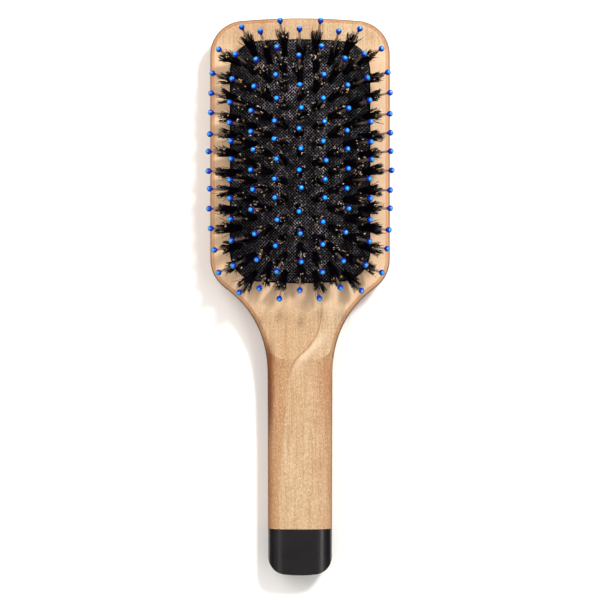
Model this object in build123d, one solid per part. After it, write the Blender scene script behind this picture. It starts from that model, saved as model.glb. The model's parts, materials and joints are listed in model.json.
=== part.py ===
from build123d import *
import math
import os
import random

# Cushion paddle brush: a wooden body with a black end cap on its handle, an air cushion of
# rubber faced with woven fabric, and 112 tufts. Each tuft is a nylon pin with a ball tip,
# standing in the middle of a bundle of boar bristles.
#
# Frame, in millimetres: X is the width, +Y points to the top of the head, and +Z points out
# of the bristle side. The brush lies on its back on Z = 0, and the origin is the centre of
# its length and width.

# ------------------------------------------------------------------ driving dimensions
TOTAL_LENGTH = 230.0
BODY_THICKNESS = 13.5
FACE_Z = BODY_THICKNESS

# Head, in plan
HEAD_WIDTH = 74.2
HEAD_CROWN_RADIUS = 280.0       # slight bulge of the top edge
HEAD_CORNER_RADIUS = 14.0
SHOULDER_RADIUS = 14.5
SHOULDER_CENTRE_Y = 15.4
SHOULDER_TURN = 50.3            # degrees that the side turns inwards at the shoulder

# Neck and handle, in plan
NECK_END_Y = -32.4
NECK_PULL_AT_SHOULDER = 4.7     # how long the neck curve keeps its direction at each end
NECK_PULL_AT_HANDLE = 24.3
HANDLE_HALF_WIDTH = 13.4        # at the neck
HANDLE_END_HALF_WIDTH = 13.2
CAP_LENGTH = 19.0
CAP_CORNER_RADIUS = 7.2
CAP_END_CROWN_RADIUS = 60.0

# Rounding of the body seen from the side
HEAD_TOP_EDGE_RADIUS = 2.4
HEAD_BACK_EDGE_RADIUS = 4.0
CAP_END_EDGE_RADIUS = 4.2
HANDLE_CROWN_HALF_WIDTH = 13.65
HANDLE_CROWN_HALF_HEIGHT = 6.25
HANDLE_CROWN_POWER = 3.2        # 2 is an ellipse, larger is squarer
NECK_CROWN_POWER = 5.0
CROWN_POWER_START_Y = -66.0     # from here to the neck the section grows squarer
CROWN_POWER_END_Y = -26.0
CROWN_RUN_OUT_Y = -34.0         # where the handle's crown starts to rise into the head
CROWN_RUN_OUT_RADIUS = 66.0
CROWN_WIDEN_Y = -36.0
CROWN_WIDEN_RADIUS = 40.0
CROWN_END_Y = 10.0
CROWN_EDGE_ANGLE = math.radians(83)     # stops just short of the section's upright side

# Tenon between wood and cap
TENON_WIDTH = 17.0
TENON_HEIGHT = 7.0
TENON_LENGTH = 11.0
TENON_CORNER_RADIUS = 2.0
TENON_CLEARANCE = 0.1

# Cushion pocket in the head
POCKET_WIDTH = 58.0
POCKET_TOP_Y = 106.1
POCKET_BOTTOM_Y = 5.4
POCKET_CROWN_RADIUS = 200.0     # slight bulge of its top and bottom edges
POCKET_CORNER_RADIUS = 12.5
POCKET_FLOOR_Z = 5.0
GROOVE_LOW_Z = 8.4
GROOVE_HIGH_Z = 10.8
GROOVE_DEPTH = 1.3

# Cushion and its cover
DOME_HEIGHT = 7.0
DOME_POWER_X = 2.4
DOME_POWER_Y = 3.4
DOME_RIM_MARGIN = 0.5
COVER_THICKNESS = 0.6
RUBBER_THICKNESS = 1.2
RUBBER_WALL = 1.6
POCKET_CLEARANCE = 0.3
BEAD_CLEARANCE = 0.2

# Pins and tufts
TUFT_FIELD_CENTRE_Y = 54.6
COLUMN_PITCH = 6.2
ROW_PITCH = 7.5
COLUMNS = 9
ROWS_LONG_COLUMN = 13           # columns 2, 4, 6 and 8; the others have one fewer
PIN_LENGTH = 17.9               # from the cushion's face to the top of the ball
PIN_RADIUS = 0.5
PIN_HEAD_RADIUS = 1.8
PIN_HEAD_THICKNESS = 0.6
PIN_ROOT_DEPTH = 4.0            # from the cushion's face to the top of the pin's head
BALL_RADIUS = 1.22
TUFT_LENGTH = 12.2
TUFT_ROOT_RADIUS = 1.0
TUFT_TIP_RADIUS = 2.4
TUFT_HOLE_RADIUS = 1.35
RING_THICKNESS = 0.45
RING_LOW_DEPTH = 3.8
RING_HIGH_DEPTH = 3.3
LEAN_PER_MM = 2.04              # degrees of sideways lean for each mm from the centre line
LEAN_EASING = 0.0085            # degrees for each mm squared, taken off again
LEAN_END_LOSS = 0.35            # share of the sideways lean that the end pins lack
LEAN_OF_TOP_PINS = 45.5         # degrees of lengthwise lean of each column's end pins
LEAN_OF_BOTTOM_PINS = 40.5
LEAN_LENGTHWISE_POWER = 2.6
LEAN_SIDE_LOSS = 0.63           # share of the lengthwise lean that the side columns lack
LEAN_SCATTER = 2.2              # degrees; hand-set pins are never quite in line

# ------------------------------------------------------------------ derived sizes
TOP_Y = TOTAL_LENGTH / 2
END_Y = -TOTAL_LENGTH / 2
JOINT_Y = END_Y + CAP_LENGTH
HEAD_HALF = HEAD_WIDTH / 2
POCKET_HALF = POCKET_WIDTH / 2
POCKET_CENTRE_Y = (POCKET_TOP_Y + POCKET_BOTTOM_Y) / 2
POCKET_HALF_LENGTH = (POCKET_TOP_Y - POCKET_BOTTOM_Y) / 2
MID_Z = BODY_THICKNESS / 2
HOLE_LENGTH = 12.0
TALL = 40.0                     # higher than anything on the brush


# ------------------------------------------------------------------ outlines in plan
def crowned_corner(half_width, top_y, crown_radius, corner_radius):
    """Centre of the corner arc that joins a straight side to the crowned top edge, and
    the point where that arc meets the crown."""
    crown_centre_y = top_y - crown_radius
    centre_x = half_width - corner_radius
    reach = crown_radius - corner_radius
    centre_y = crown_centre_y + math.sqrt(reach**2 - centre_x**2)
    scale = crown_radius / reach
    meet = (centre_x * scale, crown_centre_y + (centre_y - crown_centre_y) * scale)
    return (centre_x, centre_y), meet


def arc_middle(centre, radius, start_degrees, end_degrees):
    """Point half way along an arc, for ThreePointArc."""
    angle = math.radians((start_degrees + end_degrees) / 2)
    return (centre[0] + radius * math.cos(angle), centre[1] + radius * math.sin(angle))


def mirrored_face(right_half):
    """Face bounded by the right-hand edges, which run from X = 0 round to X = 0, and
    their mirror image."""
    right = Curve() + right_half
    return make_face(right + mirror(right, about=Plane.YZ))


def crowned_top_edges(half_width, top_y, crown_radius, corner_radius, side_end_y):
    """Right half of a crowned top edge, its corner and the straight side below it."""
    centre, meet = crowned_corner(half_width, top_y, crown_radius, corner_radius)
    meet_angle = math.degrees(math.atan2(meet[1] - centre[1], meet[0] - centre[0]))
    crown_mid_x = meet[0] / 2
    crown_mid_y = top_y - crown_radius + math.sqrt(crown_radius**2 - crown_mid_x**2)
    side_top = (half_width, centre[1])
    return [
        ThreePointArc((0, top_y), (crown_mid_x, crown_mid_y), meet),
        ThreePointArc(meet, arc_middle(centre, corner_radius, meet_angle, 0), side_top),
        Line(side_top, (half_width, side_end_y)),
    ]


def wood_outline():
    """Plan of the wooden body, with the handle run on past the cap joint."""
    turn = math.radians(SHOULDER_TURN)
    centre = (HEAD_HALF - SHOULDER_RADIUS, SHOULDER_CENTRE_Y)
    shoulder_end = (
        centre[0] + SHOULDER_RADIUS * math.cos(turn),
        centre[1] - SHOULDER_RADIUS * math.sin(turn),
    )
    neck_end = (HANDLE_HALF_WIDTH, NECK_END_Y)
    handle_end = (HANDLE_END_HALF_WIDTH, END_Y)
    handle_run = Vector(*handle_end) - Vector(*neck_end)
    neck_pull = Vector(*neck_end) - handle_run.normalized() * NECK_PULL_AT_HANDLE
    shoulder_pull = (
        shoulder_end[0] - NECK_PULL_AT_SHOULDER * math.sin(turn),
        shoulder_end[1] - NECK_PULL_AT_SHOULDER * math.cos(turn),
    )
    edges = crowned_top_edges(
        HEAD_HALF, TOP_Y, HEAD_CROWN_RADIUS, HEAD_CORNER_RADIUS, SHOULDER_CENTRE_Y
    )
    edges += [
        ThreePointArc(
            (HEAD_HALF, SHOULDER_CENTRE_Y),
            arc_middle(centre, SHOULDER_RADIUS, 0, -SHOULDER_TURN),
            shoulder_end,
        ),
        Bezier(shoulder_end, shoulder_pull, (neck_pull.X, neck_pull.Y), neck_end),
        Line(neck_end, handle_end),
        Line(handle_end, (0, END_Y)),
    ]
    return mirrored_face(edges)


def cap_outline():
    """Plan of the end cap: the handle's width, round corners and a slightly bulged end."""
    slope = (HANDLE_HALF_WIDTH - HANDLE_END_HALF_WIDTH) / (NECK_END_Y - END_Y)
    joint_half = HANDLE_END_HALF_WIDTH + slope * CAP_LENGTH
    centre_x = HANDLE_END_HALF_WIDTH - CAP_CORNER_RADIUS
    reach = CAP_END_CROWN_RADIUS - CAP_CORNER_RADIUS
    crown_centre_y = END_Y + CAP_END_CROWN_RADIUS
    centre = (centre_x, crown_centre_y - math.sqrt(reach**2 - centre_x**2))
    scale = CAP_END_CROWN_RADIUS / reach
    meet = (centre_x * scale, crown_centre_y + (centre[1] - crown_centre_y) * scale)
    meet_angle = math.degrees(math.atan2(meet[1] - centre[1], meet[0] - centre[0]))
    mid_x = meet[0] / 2
    mid_y = crown_centre_y - math.sqrt(CAP_END_CROWN_RADIUS**2 - mid_x**2)
    corner_start = (HANDLE_END_HALF_WIDTH, centre[1])
    edges = [
        Line((0, JOINT_Y), (joint_half, JOINT_Y)),
        Line((joint_half, JOINT_Y), corner_start),
        ThreePointArc(corner_start, arc_middle(centre, CAP_CORNER_RADIUS, 0, meet_angle), meet),
        ThreePointArc(meet, (mid_x, mid_y), (0, END_Y)),
    ]
    return mirrored_face(edges)


def pocket_outline(grow=0.0):
    """Plan of the cushion pocket, made larger all round by grow. Its two ends are alike."""
    upper_right = Curve() + crowned_top_edges(
        POCKET_HALF + grow,
        POCKET_HALF_LENGTH + grow,
        POCKET_CROWN_RADIUS,
        POCKET_CORNER_RADIUS + grow,
        0,
    )
    right = upper_right + mirror(upper_right, about=Plane.XZ)
    return Pos(0, POCKET_CENTRE_Y, 0) * make_face(right + mirror(right, about=Plane.YZ))


def prism(face, low_z, high_z):
    """Upright solid on a plan outline, between two heights."""
    return extrude(Pos(0, 0, low_z) * face, amount=high_z - low_z)


# ------------------------------------------------------------------ wooden body and cap
def crown_point(across, y, side):
    """Point on the handle's rounded cross-section: across runs from -1 to 1 over its width,
    and side is 1 for the bristle side and -1 for the back. Past the neck the section grows
    beyond the outline, so that the flat head is left alone."""
    rise = max(0.0, y - CROWN_RUN_OUT_Y) ** 2 / (2 * CROWN_RUN_OUT_RADIUS)
    widening = max(0.0, y - CROWN_WIDEN_Y) ** 2 / (2 * CROWN_WIDEN_RADIUS)
    ramp = (y - CROWN_POWER_START_Y) / (CROWN_POWER_END_Y - CROWN_POWER_START_Y)
    ramp = min(1.0, max(0.0, ramp))
    squarer = ramp * ramp * (3 - 2 * ramp)
    power = HANDLE_CROWN_POWER + (NECK_CROWN_POWER - HANDLE_CROWN_POWER) * squarer
    share = math.sin(across * CROWN_EDGE_ANGLE)
    height = (1 - abs(share) ** power) ** (1 / power)
    x = (HANDLE_CROWN_HALF_WIDTH + widening) * share
    return (x, y, MID_Z + side * (HANDLE_CROWN_HALF_HEIGHT + rise) * height)


def crown_waste(side):
    """Everything beyond the handle's rounded surface, on the bristle side or the back."""
    x_steps, y_steps = 28, 60
    start_y = END_Y - 5
    rows = []
    for j in range(y_steps + 1):
        y = start_y + (CROWN_END_Y - start_y) * j / y_steps
        rows.append([crown_point(2 * i / x_steps - 1, y, side) for i in range(x_steps + 1)])
    face = Face.make_surface_from_array_of_points(rows, tol=0.002, max_deg=5)
    return Solid.extrude(face, Vector(0, 0, side * TALL))


def rounded_slab(face, top_radius, back_radius):
    """Slab of the body's thickness with its long edges rounded."""
    slab = prism(face, 0, BODY_THICKNESS)
    slab = fillet(slab.faces().sort_by(Axis.Z)[-1].edges(), top_radius)
    return fillet(slab.faces().sort_by(Axis.Z)[0].edges(), back_radius)


def tenon(clearance, length):
    """Square peg on the end of the wood that the cap is glued onto."""
    peg = Plane.XZ * RectangleRounded(
        TENON_WIDTH + 2 * clearance, TENON_HEIGHT + 2 * clearance, TENON_CORNER_RADIUS
    )
    return Pos(0, JOINT_Y, MID_Z) * extrude(peg, amount=length)


def make_wooden_body():
    body = rounded_slab(wood_outline(), HEAD_TOP_EDGE_RADIUS, HEAD_BACK_EDGE_RADIUS)
    body = body - crown_waste(1) - crown_waste(-1)
    past_joint = Pos(0, JOINT_Y - TALL, MID_Z) * Box(2 * HEAD_WIDTH, 2 * TALL, 3 * TALL)
    body = body - past_joint + tenon(0, TENON_LENGTH)
    body -= prism(pocket_outline(), POCKET_FLOOR_Z, TALL)
    body -= prism(pocket_outline(GROOVE_DEPTH), GROOVE_LOW_Z, GROOVE_HIGH_Z)
    return body


def make_end_cap():
    slab = prism(cap_outline(), 0, BODY_THICKNESS)
    for face in (slab.faces().sort_by(Axis.Z)[-1], slab.faces().sort_by(Axis.Z)[0]):
        edges = [e for e in face.edges() if e.center().Y < JOINT_Y - 0.01]
        slab = fillet(edges, CAP_END_EDGE_RADIUS)
    slab = slab - crown_waste(1) - crown_waste(-1)
    return slab - tenon(TENON_CLEARANCE, TENON_LENGTH + TENON_CLEARANCE)


# ------------------------------------------------------------------ cushion and cover
def dome_height(x, y):
    """Height of the cushion's face above the wood, at a point of the pocket."""
    across = abs(x) / (POCKET_HALF + DOME_RIM_MARGIN)
    along = abs(y - POCKET_CENTRE_Y) / (POCKET_HALF_LENGTH + DOME_RIM_MARGIN)
    return DOME_HEIGHT * (1 - across**DOME_POWER_X) * (1 - along**DOME_POWER_Y)


def below_dome(depth):
    """Solid that fills everything under the cushion's face, lowered by depth."""
    x_steps, y_steps = 24, 40
    reach_x = POCKET_HALF + DOME_RIM_MARGIN
    reach_y = POCKET_HALF_LENGTH + DOME_RIM_MARGIN
    rows = []
    for j in range(y_steps + 1):
        y = POCKET_CENTRE_Y + reach_y * (2 * j / y_steps - 1)
        row = []
        for i in range(x_steps + 1):
            x = reach_x * (2 * i / x_steps - 1)
            row.append((x, y, FACE_Z - depth + dome_height(x, y)))
        rows.append(row)
    face = Face.make_surface_from_array_of_points(rows, tol=0.005, max_deg=5)
    return Solid.extrude(face, Vector(0, 0, -TALL))


def make_cushion(hole_tools):
    skirt_low_z = GROOVE_LOW_Z + BEAD_CLEARANCE
    outside = prism(pocket_outline(-POCKET_CLEARANCE), skirt_low_z, TALL)
    inside = prism(pocket_outline(-POCKET_CLEARANCE - RUBBER_WALL), 0, TALL)
    shell = outside & below_dome(COVER_THICKNESS)
    shell -= inside & below_dome(COVER_THICKNESS + RUBBER_THICKNESS)
    bead = prism(
        pocket_outline(GROOVE_DEPTH - BEAD_CLEARANCE),
        skirt_low_z,
        GROOVE_HIGH_Z - BEAD_CLEARANCE,
    )
    bead -= prism(pocket_outline(-POCKET_CLEARANCE - RUBBER_WALL), 0, TALL)
    return shell + bead - hole_tools


def make_cushion_cover(hole_tools):
    sheet = prism(pocket_outline(-POCKET_CLEARANCE), 0, TALL) & below_dome(0)
    sheet -= below_dome(COVER_THICKNESS)
    return sheet - hole_tools


# ------------------------------------------------------------------ tufts
def rings(*profile):
    """Solid turned about Z from (radius, height) points that run round its half section."""
    points = [(radius, 0, height) for radius, height in profile]
    return revolve(make_face(Polyline(*points, close=True)), axis=Axis.Z)


def make_pin():
    """Nylon pin with a flat head; Z = 0 is the cushion's face."""
    head_low = -PIN_ROOT_DEPTH - PIN_HEAD_THICKNESS
    shaft_end = PIN_LENGTH - BALL_RADIUS
    return rings(
        (0, head_low),
        (PIN_HEAD_RADIUS, head_low),
        (PIN_HEAD_RADIUS, -PIN_ROOT_DEPTH),
        (PIN_RADIUS, -PIN_ROOT_DEPTH),
        (PIN_RADIUS, shaft_end),
        (0, shaft_end),
    )


def make_ball_tip():
    """Ball with a blind socket that the end of the pin sits in."""
    centre_z = PIN_LENGTH - BALL_RADIUS
    socket = Pos(0, 0, centre_z - BALL_RADIUS) * Cylinder(PIN_RADIUS, 2 * BALL_RADIUS)
    return Pos(0, 0, centre_z) * Sphere(BALL_RADIUS) - socket


def make_bristle_tuft():
    """Bundle of bristles round the pin: straight through the cushion, then spreading."""
    return rings(
        (PIN_RADIUS, -PIN_ROOT_DEPTH),
        (TUFT_ROOT_RADIUS, -PIN_ROOT_DEPTH),
        (TUFT_ROOT_RADIUS, 0),
        (TUFT_TIP_RADIUS, TUFT_LENGTH),
        (PIN_RADIUS, TUFT_LENGTH),
    )


def make_binding_ring():
    """Crimped ring that ties the bundle and stops it pulling out through its hole."""
    inner = TUFT_ROOT_RADIUS
    outer = TUFT_ROOT_RADIUS + RING_THICKNESS
    return rings(
        (inner, -RING_LOW_DEPTH),
        (outer, -RING_LOW_DEPTH),
        (outer, -RING_HIGH_DEPTH),
        (inner, -RING_HIGH_DEPTH),
    )


def pin_seat(x, y, end_share, scatter):
    """Place of one pin: on the cushion's face, leaning outwards from the middle.
    end_share runs from -1 at the bottom pin of a column to 1 at the top pin."""
    side_share = abs(x) / ((COLUMNS - 1) / 2 * COLUMN_PITCH)
    lean_x = LEAN_PER_MM * abs(x) - LEAN_EASING * x * x
    lean_x *= 1 - LEAN_END_LOSS * end_share**4
    end_lean = LEAN_OF_TOP_PINS if end_share > 0 else LEAN_OF_BOTTOM_PINS
    lean_y = end_lean * abs(end_share) ** LEAN_LENGTHWISE_POWER
    lean_y *= 1 - LEAN_SIDE_LOSS * side_share**3
    lean_x = math.copysign(lean_x, x) + scatter.uniform(-LEAN_SCATTER, LEAN_SCATTER)
    lean_y = math.copysign(lean_y, end_share) + scatter.uniform(-LEAN_SCATTER, LEAN_SCATTER)
    axis = Vector(math.tan(math.radians(lean_x)), math.tan(math.radians(lean_y)), 1)
    across = Vector(0, 1, 0).cross(axis)
    return Plane((x, y, FACE_Z + dome_height(x, y)), x_dir=across, z_dir=axis).location


def pin_groups():
    """Seats of all pins by group: one group for each column's middle pins, and one each
    for the pins at the top and bottom ends of columns 2 to 8."""
    scatter = random.Random(11)
    groups = {}
    for column in range(1, COLUMNS + 1):
        rows = ROWS_LONG_COLUMN - column % 2
        x = (column - (COLUMNS + 1) / 2) * COLUMN_PITCH
        for row in range(rows):
            middle_row = (rows - 1) / 2
            y = TUFT_FIELD_CENTRE_Y + (row - middle_row) * ROW_PITCH
            side_column = column in (1, COLUMNS)
            group = f"column_{column}"
            if row == 0 and not side_column:
                group = "bottom_row"
            if row == rows - 1 and not side_column:
                group = "top_row"
            seat = pin_seat(x, y, (row - middle_row) / middle_row, scatter)
            groups.setdefault(group, []).append(seat)
    return groups


def is_outer(group):
    """True for the groups that make up the ring of pins next to the wood."""
    return group in ("top_row", "bottom_row", "column_1", f"column_{COLUMNS}")


# ------------------------------------------------------------------ build and export
def save(shape, name):
    export_step(shape, os.path.join("parts", name + ".step"))


def copies(solid, seats):
    """Separate copies of one solid, one on each seat."""
    return Compound([solid.moved(seat) for seat in seats])


def main():
    os.makedirs("parts", exist_ok=True)
    groups = pin_groups()
    seats = [seat for group in groups.values() for seat in group]

    save(make_wooden_body(), "wooden_body")
    save(make_end_cap(), "end_cap")

    hole = Cylinder(TUFT_HOLE_RADIUS, HOLE_LENGTH).solid()
    hole_tools = [hole.moved(seat) for seat in seats]
    save(make_cushion(hole_tools), "cushion")
    save(make_cushion_cover(hole_tools), "cushion_cover")

    pin = make_pin().solid()
    ball_tip = make_ball_tip().solid()
    tuft = make_bristle_tuft().solid()
    for group, group_seats in groups.items():
        save(copies(pin, group_seats), "pins_" + group)
        save(copies(ball_tip, group_seats), "ball_tips_" + group)
        save(copies(tuft, group_seats), "bristles_" + group)

    ring = make_binding_ring().solid()
    outer = [seat for group in groups if is_outer(group) for seat in groups[group]]
    inner = [seat for group in groups if not is_outer(group) for seat in groups[group]]
    save(copies(ring, outer), "binding_rings_outer")
    save(copies(ring, inner), "binding_rings_inner")


main()
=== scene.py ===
"""Looks of the cushion paddle brush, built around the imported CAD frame, in metres."""

import json
import math

import bmesh
import bpy
import numpy as np
from mathutils import Matrix, Vector
from mathutils.geometry import delaunay_2d_cdt

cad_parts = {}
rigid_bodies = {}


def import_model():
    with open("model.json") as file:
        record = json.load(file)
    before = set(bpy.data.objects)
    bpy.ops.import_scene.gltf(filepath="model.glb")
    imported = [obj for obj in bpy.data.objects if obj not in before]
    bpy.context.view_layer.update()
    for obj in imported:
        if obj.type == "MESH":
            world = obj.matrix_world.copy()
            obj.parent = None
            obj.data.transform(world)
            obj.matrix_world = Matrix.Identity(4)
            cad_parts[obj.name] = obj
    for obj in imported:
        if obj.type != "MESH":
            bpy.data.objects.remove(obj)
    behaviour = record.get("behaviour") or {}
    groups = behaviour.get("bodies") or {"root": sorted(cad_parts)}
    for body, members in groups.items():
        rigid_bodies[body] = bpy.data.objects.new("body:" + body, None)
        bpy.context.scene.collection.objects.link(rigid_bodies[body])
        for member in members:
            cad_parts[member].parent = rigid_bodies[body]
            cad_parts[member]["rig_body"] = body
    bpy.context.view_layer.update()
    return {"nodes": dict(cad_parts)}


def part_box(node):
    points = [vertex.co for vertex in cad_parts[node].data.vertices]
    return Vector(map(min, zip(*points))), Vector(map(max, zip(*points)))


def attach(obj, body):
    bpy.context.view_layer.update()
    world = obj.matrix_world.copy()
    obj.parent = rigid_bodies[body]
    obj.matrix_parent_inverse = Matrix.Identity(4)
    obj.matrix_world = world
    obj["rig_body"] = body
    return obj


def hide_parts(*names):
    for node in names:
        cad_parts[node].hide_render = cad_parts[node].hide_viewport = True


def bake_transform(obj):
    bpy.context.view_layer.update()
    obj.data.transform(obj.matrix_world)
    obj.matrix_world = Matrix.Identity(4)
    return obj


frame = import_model()
NODES = frame["nodes"]

# ------------------------------------------------------------------ sizes and places
MM = 0.001

# Cushion: the cover's outline is its CAD node's box with round corners and bulged ends
COVER_LOW, COVER_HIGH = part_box("cushion_cover")
FACE_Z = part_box("wooden_body")[1].z
COVER_HALF_WIDTH = COVER_HIGH.x
COVER_CENTRE_Y = (COVER_LOW.y + COVER_HIGH.y) / 2
COVER_HALF_LENGTH = (COVER_HIGH.y - COVER_LOW.y) / 2
COVER_CORNER_RADIUS = 12.2 * MM
COVER_CROWN_RADIUS = 200 * MM
CORNER_STEPS, CROWN_STEPS, SIDE_STEPS = 20, 36, 84
SMALLEST_CORNER = 2 * MM            # of a loop far inside the outline
COVER_THICKNESS = 0.6 * MM
DOME_HEIGHT = COVER_HIGH.z - FACE_Z
DOME_MARGIN = 0.8 * MM              # from the cover's edge to where the dome would meet the wood
DOME_POWER_X = 2.4
DOME_POWER_Y = 3.4
CLOTH_SPACING = 0.95 * MM           # between the points of the cloth's mesh
CLOTH_RINGS = [1.35 * MM, 1.75 * MM, 2.25 * MM]  # of points round each tuft

# Rubber under the cloth
RUBBER_THICKNESS = 1.2 * MM
RUBBER_WALL = 1.6 * MM
RUBBER_INSET = 0.05 * MM            # of its outline from the cloth's
RUBBER_SPACING = 2.2 * MM
RUBBER_RINGS = [1.7 * MM]
CLOTH_GAP = 0.02 * MM               # from the cloth down to the rubber
WALL_OUTER_TOP = FACE_Z - 1.2 * MM
WALL_INNER_TOP = FACE_Z - 2.4 * MM
BEAD_OUT = 1.35 * MM
BEAD_LOW, BEAD_HIGH = 8.6 * MM, 10.6 * MM
BEAD_STEPS = 8

# The cloth is drawn in at every tuft
DIMPLE_DEPTH = 0.55 * MM
DIMPLE_REACH = 1.5 * MM
PUCKER_HEIGHT = 0.09 * MM
PUCKER_FOLDS = 7
PUCKER_RADIUS = 1.9 * MM
PUCKER_WIDTH = 0.9 * MM
PUCKER_TURN = 1.7                   # from one tuft's folds to the next one's, in radians
EYELET_RADIUS = 1.05 * MM
EYELET_POINTS = 18

# Net of threads woven over the cloth at 45 degrees
NET_PITCH = 1.35 * MM               # from crossing to crossing along X
THREAD_WIDTH = 0.18 * MM
THREAD_HEIGHT = 0.13 * MM
THREAD_WAVE = 0.05 * MM
THREAD_SINK = 0.02 * MM             # of its flat underside into the cloth
THREAD_PROFILE = [(-0.5, 0.0), (-0.22, 1.0), (0.22, 1.0), (0.5, 0.0)]  # of its width, height
NET_EDGE = 0.35 * MM                # kept free inside the outline
NET_EYELET_GAP = 0.15 * MM

# Pins and their balls
WELD_DISTANCE = 1e-6                # between points of a CAD mesh that are one
PIN_HEAD_DEPTH = 4.6 * MM           # from the cushion's face to the bottom of the pin's head
PIN_END = 0.1 * MM                  # length of a pin's two ends that is averaged for its axis
BALL_RADIUS = 1.22 * MM
BALL_SEGMENTS, BALL_RINGS = 24, 14
BALL_LAST_TURN = math.radians(148)  # from the crown to where the collar starts
COLLAR_RADIUS = 0.60 * MM
COLLAR_LENGTH = 0.45 * MM
COLLAR_FILLET = 0.12 * MM
COLLAR_CHAMFER = 0.05 * MM
COLLAR_TAPER = (0.97, 0.92, 0.80)   # of its radius: at its fillet, at its end, at its chamfer

# Bristles
BRISTLES_PER_TUFT = 165
LOCKS_PER_TUFT = 8
TUFT_LENGTH = 10.2 * MM
TUFT_ROOT_DEPTH = 1.6 * MM
TUFT_ROOT_RADIUS = 0.95 * MM
TUFT_SPREAD = 2.9 * MM
BRISTLE_ROOT_RADIUS = 0.12 * MM
BRISTLE_TIP_RADIUS = 0.115 * MM
SPLIT_TIP_RADIUS = 0.20 * MM
SPLIT_SHARE = 0.095                 # of bristles, with a pale end that is split and flared
UPRIGHT_ENOUGH = 0.85               # upwards part of a tuft's axis
LEANING_PALE = 0.95                 # leaves the tufts that lean more with fewer pale ends
BRISTLE_STEPS = 6
BRISTLE_CLOSING = 1.6               # power that brings the steps closer towards the end
STRAY_SHARE = 0.06
LEAN_POWER = 1.5                    # bristles leave the cushion upright, then lean out
MIDDLE_LOCKS = (0.15, 0.30, 0.40)   # how far these lean out, as shares of the tuft's spread
BRISTLE_SEED = 5

# Floor, and a camera straight above
FLOOR_HALF = 6.0
FLOOR_DROP = 0.02 * MM
CAMERA_PLACE = (-0.02 * MM, -1.43 * MM, 731.13 * MM)
CAMERA_LENS, CAMERA_SENSOR = 104.5, 36


# ------------------------------------------------------------------ node materials
class Shader:
    """A node material being made. An input given as a socket is linked; any other is set."""

    def __init__(self, name):
        self.material = bpy.data.materials.new(name)
        self.material.use_nodes = True
        self.tree = self.material.node_tree
        self.tree.nodes.clear()
        self.position = self.node("TexCoord", "Object")

    def node(self, kind, output=0, inputs=None, **settings):
        made = self.tree.nodes.new("ShaderNode" + kind)
        for key, value in settings.items():
            setattr(made, key, value)
        for key, value in (inputs or {}).items():
            self.give(made, key, value)
        return made.outputs[output]

    def give(self, node, key, value):
        if isinstance(value, bpy.types.NodeSocket):
            self.tree.links.new(value, node.inputs[key])
        else:
            node.inputs[key].default_value = value

    def math(self, operation, a, b=0.0, c=0.0):
        return self.node("Math", 0, {0: a, 1: b, 2: c}, operation=operation)

    def product(self, first, *others):
        for other in others:
            first = self.math("MULTIPLY", first, other)
        return first

    def mix(self, factor, a, b, blend="MIX"):
        return self.node(
            "Mix", 2, {0: factor, 6: a, 7: b}, data_type="RGBA", blend_type=blend
        )

    def stretched(self, x, y, z):
        """Position multiplied by a number along each axis."""
        return self.node("Mapping", 0, {"Vector": self.position, "Scale": (x, y, z)})

    def noise(self, vector, scale, detail=3.0, roughness=0.5, distortion=0.0):
        inputs = {
            "Vector": vector,
            "Scale": scale,
            "Detail": detail,
            "Roughness": roughness,
            "Distortion": distortion,
        }
        return self.node("TexNoise", 0, inputs)

    def between(self, value, low, high, to_low=0.0, to_high=1.0):
        """Value taken smoothly from the range low..high to the range to_low..to_high."""
        inputs = {0: value, 1: low, 2: high, 3: to_low, 4: to_high}
        return self.node("MapRange", 0, inputs, interpolation_type="SMOOTHSTEP")

    def curve(self, value, points):
        """Value sent through a smooth curve that passes through the points, all in 0..1."""
        made = self.tree.nodes.new("ShaderNodeFloatCurve")
        self.give(made, "Value", value)
        line = made.mapping.curves[0]
        for x, y in points[1:-1]:
            line.points.new(x, y)
        line.points[0].location = points[0]
        line.points[-1].location = points[-1]
        made.mapping.update()
        return made.outputs[0]

    def bump(self, height, distance, strength):
        inputs = {"Height": height, "Distance": distance, "Strength": strength}
        return self.node("Bump", 0, inputs)

    def surface(self, **inputs):
        """Ends the material in a Principled shader with these inputs, named with _ for a space."""
        names = {key.replace("_", " "): value for key, value in inputs.items()}
        shader = self.node("BsdfPrincipled", 0, names)
        output = self.tree.nodes.new("ShaderNodeOutputMaterial")
        self.tree.links.new(shader, output.inputs["Surface"])
        return self.material


def srgb(red, green, blue):
    """Linear colour of a display colour given in 0..255."""
    return tuple((c / 255) ** 2.2 for c in (red, green, blue)) + (1.0,)


def growth_line(s, x, y):
    """How far a point lies to the right of the wood's growth line, which runs up the handle
    and sweeps across the neck."""
    line_low, line_high, line_reach = -100 * MM, 10 * MM, 30 * MM
    run = s.node("MapRange", 0, {0: y, 1: line_low, 2: line_high})
    # Along the line from the cap at 0 to the cushion at 1, and from side to side
    path = s.curve(
        run,
        [
            (0.0, 0.355), (0.18, 0.36), (0.40, 0.385), (0.48, 0.405), (0.56, 0.415),
            (0.62, 0.432), (0.665, 0.466), (0.70, 0.52), (0.73, 0.575), (0.76, 0.612),
            (0.80, 0.638), (0.90, 0.655), (1.0, 0.66),
        ],
    )
    wander = s.noise(s.stretched(1, 1, 0), 90, 2)
    line_x = s.math("MULTIPLY_ADD", path, 2 * line_reach, -line_reach)
    line_x = s.math("ADD", line_x, s.math("MULTIPLY_ADD", wander, 1.2 * MM, -0.6 * MM))
    return s.math("SUBTRACT", x, line_x)


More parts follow.
